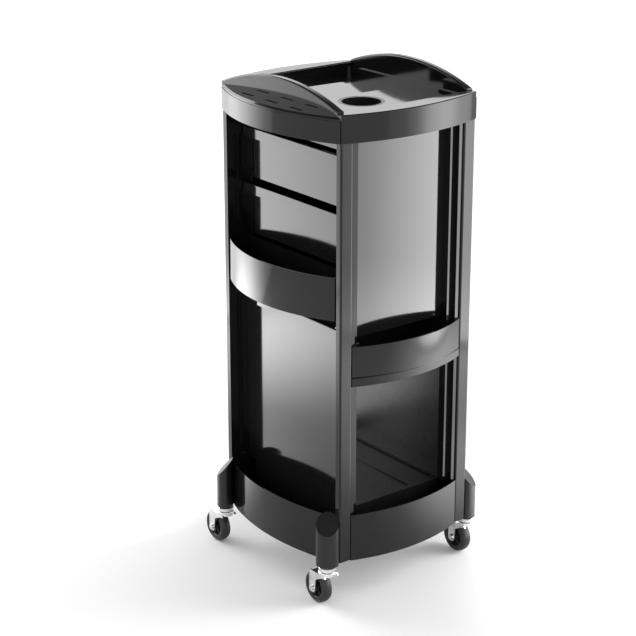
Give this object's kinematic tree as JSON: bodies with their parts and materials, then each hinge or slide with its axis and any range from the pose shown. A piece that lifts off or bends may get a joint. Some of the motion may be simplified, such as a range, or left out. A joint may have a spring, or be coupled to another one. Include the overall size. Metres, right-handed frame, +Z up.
{
  "type": "salon trolley",
  "caption": "Upright salon trolley with bowed bands, pull-out drawers and trays, an open lower compartment, a top tray between arched end handles, and swivel casters.",
  "frame": {"origin": "on the floor under the middle of the overall box", "axes": "+X to the right-hand side, -Y towards the drawer front, +Z up"},
  "size_m": [0.404, 0.378, 0.913],
  "materials": {
    "gloss_black": "high gloss moulded plastic",
    "satin_black": "satin moulded plastic",
    "zinc": "bright zinc plate",
    "tyre": "smooth rubber",
    "wheel_plastic": "dark moulded plastic"
  },
  "bodies": {
    "frame": {"band_front": "gloss_black", "band_rear": "gloss_black", "base_tray": "gloss_black", "caster_bearing_front_left": "zinc", "caster_bearing_front_right": "zinc", "caster_bearing_rear_left": "zinc", "caster_bearing_rear_right": "zinc", "caster_housing_front_left": "satin_black", "caster_housing_front_right": "satin_black", "caster_housing_rear_left": "satin_black", "caster_housing_rear_right": "satin_black", "compartment_floor": "satin_black", "cup_liner": "satin_black", "front_panel": "gloss_black", "handle_front": "gloss_black", "handle_rear": "gloss_black", "header_rail": "gloss_black", "post_front_left": "gloss_black", "post_front_right": "gloss_black", "post_rear_left": "gloss_black", "post_rear_right": "gloss_black", "rear_panel": "satin_black", "rim_left": "gloss_black", "rim_right": "gloss_black", "runner_lower_left": "satin_black", "runner_lower_right": "satin_black", "runner_middle_left": "satin_black", "runner_middle_right": "satin_black", "runner_top_left": "satin_black", "runner_top_right": "satin_black", "side_panel_left": "gloss_black", "side_panel_right": "gloss_black", "side_shelf_left": "gloss_black", "side_shelf_right": "gloss_black", "top_tray": "gloss_black"},
    "drawer_top": {"drawer_top": "gloss_black"},
    "drawer_middle": {"drawer_middle": "gloss_black"},
    "front_tray": {"front_tray": "gloss_black"},
    "side_tray_left": {"side_tray_left": "gloss_black"},
    "side_tray_right": {"side_tray_right": "gloss_black"},
    "swivel_front_left": {"caster_fork_front_left": "zinc", "caster_axle_front_left": "zinc"},
    "wheel_front_left": {"caster_hub_front_left": "wheel_plastic", "caster_tyre_front_left": "tyre"},
    "swivel_front_right": {"caster_fork_front_right": "zinc", "caster_axle_front_right": "zinc"},
    "wheel_front_right": {"caster_hub_front_right": "wheel_plastic", "caster_tyre_front_right": "tyre"},
    "swivel_rear_left": {"caster_fork_rear_left": "zinc", "caster_axle_rear_left": "zinc"},
    "wheel_rear_left": {"caster_hub_rear_left": "wheel_plastic", "caster_tyre_rear_left": "tyre"},
    "swivel_rear_right": {"caster_fork_rear_right": "zinc", "caster_axle_rear_right": "zinc"},
    "wheel_rear_right": {"caster_hub_rear_right": "wheel_plastic", "caster_tyre_rear_right": "tyre"}
  },
  "joints": [
    {"name": "drawer_top_slide", "type": "slide", "parent": "frame", "child": "drawer_top", "axis": [0, -1, 0], "range_m": [0, 0.17]},
    {"name": "drawer_middle_slide", "type": "slide", "parent": "frame", "child": "drawer_middle", "axis": [0, -1, 0], "range_m": [0, 0.17]},
    {"name": "front_tray_slide", "type": "slide", "parent": "frame", "child": "front_tray", "axis": [0, -1, 0], "range_m": [0, 0.14]},
    {"name": "side_tray_left_slide", "type": "slide", "parent": "frame", "child": "side_tray_left", "axis": [-1, 0, 0], "range_m": [0, 0.07]},
    {"name": "side_tray_right_slide", "type": "slide", "parent": "frame", "child": "side_tray_right", "axis": [1, 0, 0], "range_m": [0, 0.07]},
    {"name": "swivel_front_left", "type": "hinge", "parent": "frame", "child": "swivel_front_left", "pos_m": [-0.148, -0.163, 0.075], "axis": [0, 0, 1], "continuous": true},
    {"name": "wheel_spin_front_left", "type": "hinge", "parent": "swivel_front_left", "child": "wheel_front_left", "pos_m": [-0.172, -0.163, 0.03], "axis": [0, 1, 0], "continuous": true},
    {"name": "swivel_front_right", "type": "hinge", "parent": "frame", "child": "swivel_front_right", "pos_m": [0.16, -0.163, 0.075], "axis": [0, 0, 1], "continuous": true},
    {"name": "wheel_spin_front_right", "type": "hinge", "parent": "swivel_front_right", "child": "wheel_front_right", "pos_m": [0.136, -0.163, 0.03], "axis": [0, 1, 0], "continuous": true},
    {"name": "swivel_rear_left", "type": "hinge", "parent": "frame", "child": "swivel_rear_left", "pos_m": [-0.148, 0.163, 0.075], "axis": [0, 0, 1], "continuous": true},
    {"name": "wheel_spin_rear_left", "type": "hinge", "parent": "swivel_rear_left", "child": "wheel_rear_left", "pos_m": [-0.172, 0.163, 0.03], "axis": [0, 1, 0], "continuous": true},
    {"name": "swivel_rear_right", "type": "hinge", "parent": "frame", "child": "swivel_rear_right", "pos_m": [0.16, 0.163, 0.075], "axis": [0, 0, 1], "continuous": true},
    {"name": "wheel_spin_rear_right", "type": "hinge", "parent": "swivel_rear_right", "child": "wheel_rear_right", "pos_m": [0.136, 0.163, 0.03], "axis": [0, 1, 0], "continuous": true}
  ]
}
